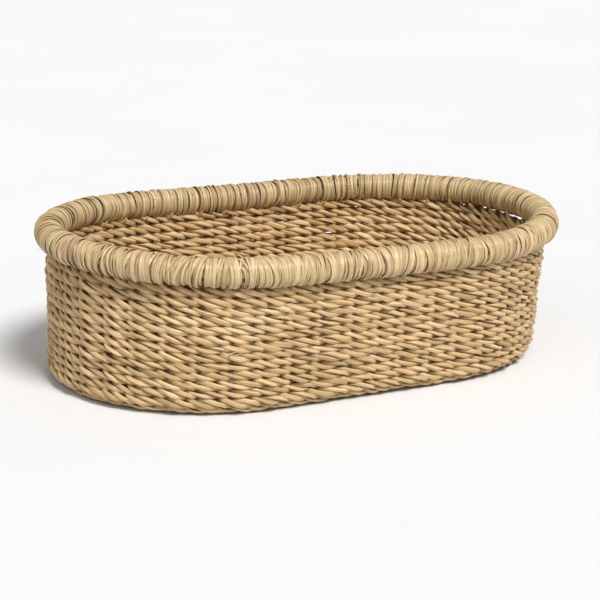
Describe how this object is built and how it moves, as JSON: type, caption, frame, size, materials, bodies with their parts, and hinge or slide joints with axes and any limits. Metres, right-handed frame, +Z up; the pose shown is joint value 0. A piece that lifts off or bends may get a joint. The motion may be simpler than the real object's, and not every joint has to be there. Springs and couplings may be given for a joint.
{
  "type": "woven straw basket",
  "caption": "Low oval bread basket twined from dry grass, with straight sides, rounded ends, a flat base and a thick rim wrapped in flat straw.",
  "frame": {"origin": "middle of the underside, on the surface the basket stands on", "axes": "+Z up through the open top, +X along the basket, +Y across it"},
  "size_m": [0.4236, 0.2756, 0.1173],
  "materials": {
    "straw_weavers": "satin",
    "stake_straw": "satin",
    "rim_strips": "satin",
    "inner_stems": "matte"
  },
  "bodies": {
    "root": {"stakes": "stake_straw", "base_centre": "straw_weavers", "foot_row_weaver_a": "straw_weavers", "foot_row_weaver_b": "straw_weavers", "rim_core": "inner_stems", "base_row_01": "straw_weavers", "base_row_02": "straw_weavers", "base_row_03": "straw_weavers", "base_row_04": "straw_weavers", "base_row_05": "straw_weavers", "base_row_06": "straw_weavers", "base_row_07": "straw_weavers", "base_row_08": "straw_weavers", "base_row_09": "straw_weavers", "base_row_10": "straw_weavers", "base_row_11": "straw_weavers", "base_row_12": "straw_weavers", "base_row_13": "straw_weavers", "base_row_14": "straw_weavers", "wall_row_01_weaver_a": "straw_weavers", "wall_row_01_weaver_b": "straw_weavers", "wall_row_02_weaver_a": "straw_weavers", "wall_row_02_weaver_b": "straw_weavers", "wall_row_03_weaver_a": "straw_weavers", "wall_row_03_weaver_b": "straw_weavers", "wall_row_04_weaver_a": "straw_weavers", "wall_row_04_weaver_b": "straw_weavers", "wall_row_05_weaver_a": "straw_weavers", "wall_row_05_weaver_b": "straw_weavers", "wall_row_06_weaver_a": "straw_weavers", "wall_row_06_weaver_b": "straw_weavers", "wall_row_07_weaver_a": "straw_weavers", "wall_row_07_weaver_b": "straw_weavers", "wall_row_08_weaver_a": "straw_weavers", "wall_row_08_weaver_b": "straw_weavers", "wall_row_09_weaver_a": "straw_weavers", "wall_row_09_weaver_b": "straw_weavers", "wall_row_10_weaver_a": "straw_weavers", "wall_row_10_weaver_b": "straw_weavers", "wall_row_11_weaver_a": "straw_weavers", "wall_row_11_weaver_b": "straw_weavers", "wall_row_12_weaver_a": "straw_weavers", "wall_row_12_weaver_b": "straw_weavers", "wall_row_13_weaver_a": "straw_weavers", "wall_row_13_weaver_b": "straw_weavers", "rim_wrap_01": "rim_strips", "rim_wrap_02": "rim_strips", "rim_wrap_03": "rim_strips", "rim_wrap_04": "rim_strips", "rim_wrap_05": "rim_strips", "rim_wrap_06": "rim_strips", "rim_wrap_07": "rim_strips", "rim_wrap_08": "rim_strips", "rim_wrap_09": "rim_strips", "rim_wrap_10": "rim_strips", "rim_wrap_11": "rim_strips", "rim_wrap_12": "rim_strips"}
  },
  "joints": []
}
